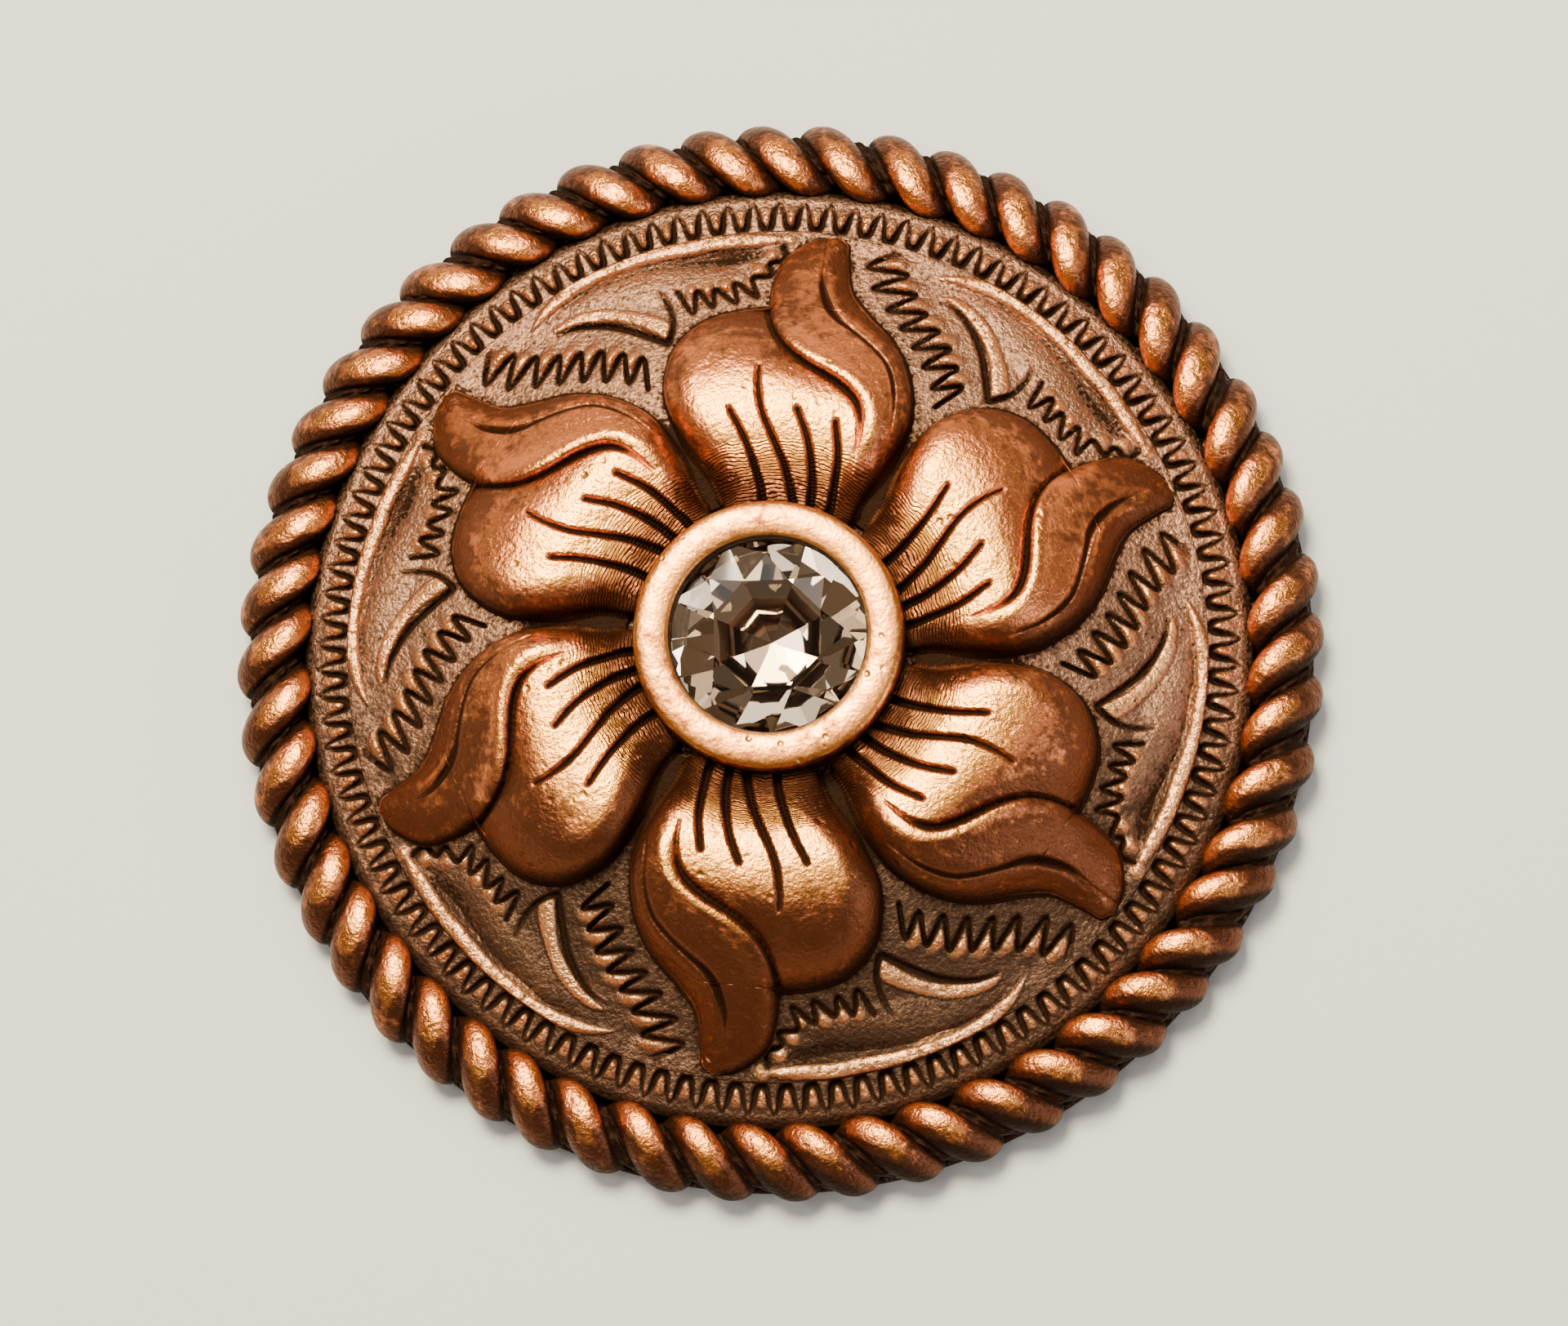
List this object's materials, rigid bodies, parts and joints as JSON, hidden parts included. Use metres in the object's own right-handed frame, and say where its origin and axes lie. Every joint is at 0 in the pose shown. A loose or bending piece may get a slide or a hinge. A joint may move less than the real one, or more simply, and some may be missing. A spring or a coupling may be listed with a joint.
{
  "type": "concho",
  "caption": "Round domed concho in antiqued copper: twisted rope edge, leaf relief, six-petal flower with a bezel-set clear crystal, and a threaded post behind.",
  "frame": {"origin": "centre of the concho on the plane that its rim rests on", "axes": "+Z out of the front, along the axis of the disc; +Y along the middle of one petal"},
  "size_m": [0.032, 0.032, 0.0056],
  "materials": {
    "plate_copper": "matt antiqued copper plate, dark in the hollows",
    "rope_copper": "satin antiqued copper plate",
    "flower_copper": "satin antiqued copper plate, rubbed bright on the crowns",
    "bezel_copper": "polished copper plate",
    "clear_crystal": "clear cut crystal with a foiled back",
    "post_metal": "plain turned metal, copper plated"
  },
  "bodies": {
    "root": {"base_plate": "plate_copper", "rope_edge": "rope_copper", "flower": "flower_copper", "bezel": "bezel_copper", "crystal": "clear_crystal", "screw_post": "post_metal"}
  },
  "joints": []
}
